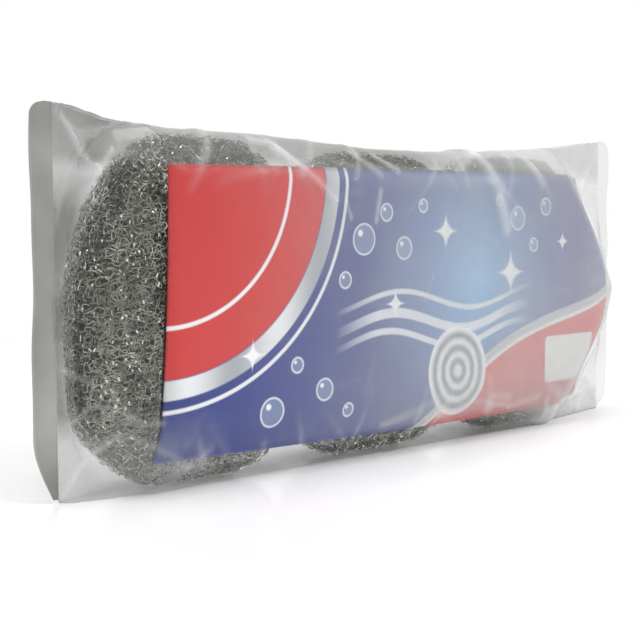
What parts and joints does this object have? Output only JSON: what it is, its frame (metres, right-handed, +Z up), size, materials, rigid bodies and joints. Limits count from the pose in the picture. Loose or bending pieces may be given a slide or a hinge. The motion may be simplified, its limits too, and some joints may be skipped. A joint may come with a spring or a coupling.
{
  "type": "pack of pot scourers",
  "caption": "Clear film pillow pack that holds a row of knitted galvanised-wire pot scourers behind a printed insert card, with sealed ends that fold.",
  "frame": {"origin": "on the flat standing face, under the middle of the pack", "axes": "+X along the row of scourers, the printed card faces -Y, +Z up"},
  "size_m": [0.261, 0.0369, 0.1011],
  "materials": {
    "clear_film": "clear, glossy, creased",
    "printed_card": "coated print",
    "galvanised_wire": "knitted bright flat wire"
  },
  "bodies": {
    "bag": {"film_tube": "clear_film", "back_fin_seal": "clear_film", "insert_card": "printed_card"},
    "left_flap": {"left_end_seal": "clear_film"},
    "right_flap": {"right_end_seal": "clear_film"},
    "left_scourer": {"left_scourer_sleeve": "galvanised_wire", "left_scourer_roll": "galvanised_wire", "left_scourer_tie": "galvanised_wire"},
    "middle_scourer": {"middle_scourer_sleeve": "galvanised_wire", "middle_scourer_roll": "galvanised_wire", "middle_scourer_tie": "galvanised_wire"},
    "right_scourer": {"right_scourer_sleeve": "galvanised_wire", "right_scourer_roll": "galvanised_wire", "right_scourer_tie": "galvanised_wire"}
  },
  "joints": [
    {"name": "left_seal_fold", "type": "hinge", "parent": "bag", "child": "left_flap", "pos_m": [-0.124, 0, 0.0507], "axis": [0, 0, 1], "range_deg": [-75, 75], "stiffness_Nm_per_rad": 0.0005},
    {"name": "right_seal_fold", "type": "hinge", "parent": "bag", "child": "right_flap", "pos_m": [0.124, 0, 0.0507], "axis": [0, 0, 1], "range_deg": [-75, 75], "stiffness_Nm_per_rad": 0.0005},
    {"name": "left_scourer_shift", "type": "slide", "parent": "bag", "child": "left_scourer", "axis": [1, 0, 0], "range_m": [-0.0015, 0.0015]},
    {"name": "middle_scourer_shift", "type": "slide", "parent": "bag", "child": "middle_scourer", "axis": [1, 0, 0], "range_m": [-0.0015, 0.0015]},
    {"name": "right_scourer_shift", "type": "slide", "parent": "bag", "child": "right_scourer", "axis": [1, 0, 0], "range_m": [-0.0015, 0.006]}
  ]
}
